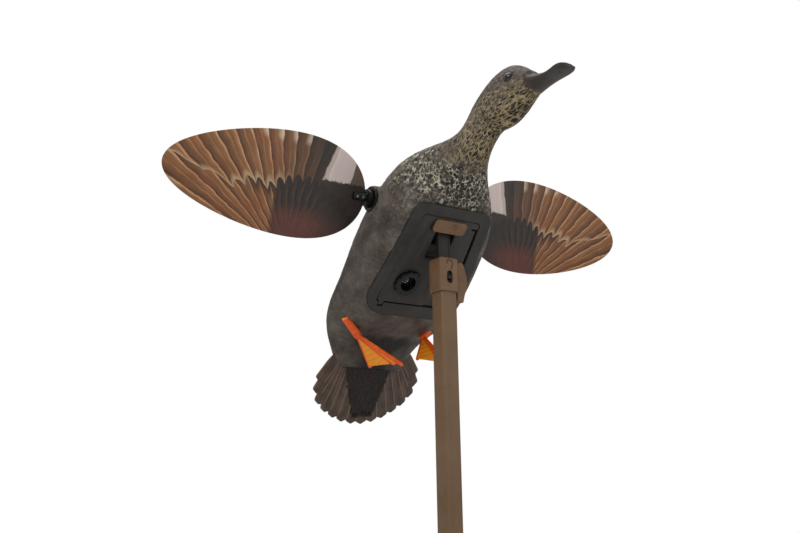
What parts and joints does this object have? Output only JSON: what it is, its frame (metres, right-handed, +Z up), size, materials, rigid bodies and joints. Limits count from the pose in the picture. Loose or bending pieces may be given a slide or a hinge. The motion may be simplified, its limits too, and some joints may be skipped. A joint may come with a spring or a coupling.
{
  "type": "motion wing decoy",
  "caption": "Spinning-wing duck decoy on a square stake, pitched nose up with its feet hanging and its belly chassis facing forward.",
  "frame": {"origin": "centre of the open bottom end of the upper stake tube, on its axis", "axes": "+Z up along the stake, +X the way the bird heads, +Y the bird's left"},
  "size_m": [0.3684, 0.5744, 0.4941],
  "materials": {
    "painted_plumage": "matte sprayed paint over moulded feather relief",
    "tail_vinyl": "soft painted vinyl",
    "printed_wing": "printed film on thin sheet",
    "plate_plastic": "fine spark-eroded moulded texture",
    "black_plastic": "smooth moulded",
    "dark_plastic": "moulded",
    "tan_plastic": "satin moulded",
    "stake_paint": "satin powder coat",
    "orange_vinyl": "soft satin vinyl",
    "eye_glass": "polished",
    "plain_steel": "zinc plated",
    "spring_steel": "bright",
    "bracket_steel": "pressed sheet",
    "motor_can": "drawn can",
    "magnet_nickel": "nickel plated",
    "switch_silver": "satin",
    "white_nylon": "moulded",
    "circuit_board": "solder mask",
    "cell_jacket": "shrink sleeve"
  },
  "bodies": {
    "pole": {"pole_tube": "stake_paint", "pole_cap": "tan_plastic", "cap_rivet": "plain_steel", "lever_pin": "plain_steel"},
    "lever": {"release_lever": "tan_plastic"},
    "peg": {"support_peg": "dark_plastic", "button_spring": "spring_steel"},
    "peg_button": {"peg_button": "tan_plastic"},
    "chassis": {"chassis_door": "plate_plastic", "tilt_pivot_pin": "plain_steel", "pivot_washers": "white_nylon", "access_cover": "plate_plastic", "cover_screw": "plain_steel", "switch_bezel": "black_plastic", "switch_body": "black_plastic", "battery_holder": "black_plastic", "battery_cells": "cell_jacket", "battery_contacts": "spring_steel", "control_board": "circuit_board", "board_parts": "black_plastic", "board_screws": "plain_steel"},
    "latch": {"door_latch": "tan_plastic"},
    "switch_cap": {"power_button": "switch_silver"},
    "bird": {"body_shell": "painted_plumage", "tail_fan": "tail_vinyl", "base_frame": "plate_plastic", "frame_screws": "plain_steel", "hinge_pins": "plain_steel", "motor_bracket": "bracket_steel", "bracket_screws": "plain_steel", "motor": "motor_can", "motor_strap": "bracket_steel", "left_eye": "eye_glass", "right_eye": "eye_glass", "left_foot": "orange_vinyl", "right_foot": "orange_vinyl", "left_shaft_collar": "black_plastic", "right_shaft_collar": "black_plastic"},
    "rotor": {"drive_shaft": "plain_steel", "left_hub": "black_plastic", "right_hub": "black_plastic", "left_hub_magnet": "magnet_nickel", "right_hub_magnet": "magnet_nickel"},
    "left_blade": {"left_wing": "printed_wing", "left_wing_post": "black_plastic", "left_wing_rivets": "plain_steel"},
    "right_blade": {"right_wing": "printed_wing", "right_wing_post": "black_plastic", "right_wing_rivets": "plain_steel"}
  },
  "joints": [
    {"name": "lever_flip", "type": "hinge", "parent": "pole", "child": "lever", "pos_m": [0, 0.0168, 0.323], "axis": [1, 0, 0], "range_deg": [0, 80]},
    {"name": "peg_lift", "type": "slide", "parent": "pole", "child": "peg", "axis": [0, 0, 1], "range_m": [0, 0.004]},
    {"name": "button_press", "type": "slide", "parent": "peg", "child": "peg_button", "axis": [-1, 0, 0], "range_m": [0, 0.0032], "stiffness_N_per_m": 300, "springref_m": -0.002, "deforming": ["button_spring"]},
    {"name": "body_tilt", "type": "hinge", "parent": "peg", "child": "chassis", "pos_m": [0, 0, 0.37], "axis": [0, -1, 0], "range_deg": [-8, 4]},
    {"name": "latch_slide", "type": "slide", "parent": "chassis", "child": "latch", "axis": [-0.7272, 0, -0.6865], "range_m": [0, 0.004]},
    {"name": "switch_press", "type": "slide", "parent": "chassis", "child": "switch_cap", "axis": [-0.6865, 0, 0.7272], "range_m": [0, 0.0015], "stiffness_N_per_m": 400, "springref_m": -0.001},
    {"name": "door_hinge", "type": "hinge", "parent": "chassis", "child": "bird", "pos_m": [-0.0642, 0, 0.29496], "axis": [0, -1, 0], "range_deg": [0, 34]},
    {"name": "wing_spin", "type": "hinge", "parent": "bird", "child": "rotor", "pos_m": [-0.04448, 0, 0.39993], "axis": [0, 1, 0], "continuous": true},
    {"name": "left_wing_pull", "type": "slide", "parent": "rotor", "child": "left_blade", "axis": [0, 1, 0], "range_m": [0, 0.03]},
    {"name": "right_wing_pull", "type": "slide", "parent": "rotor", "child": "right_blade", "axis": [0, -1, 0], "range_m": [0, 0.03]}
  ]
}
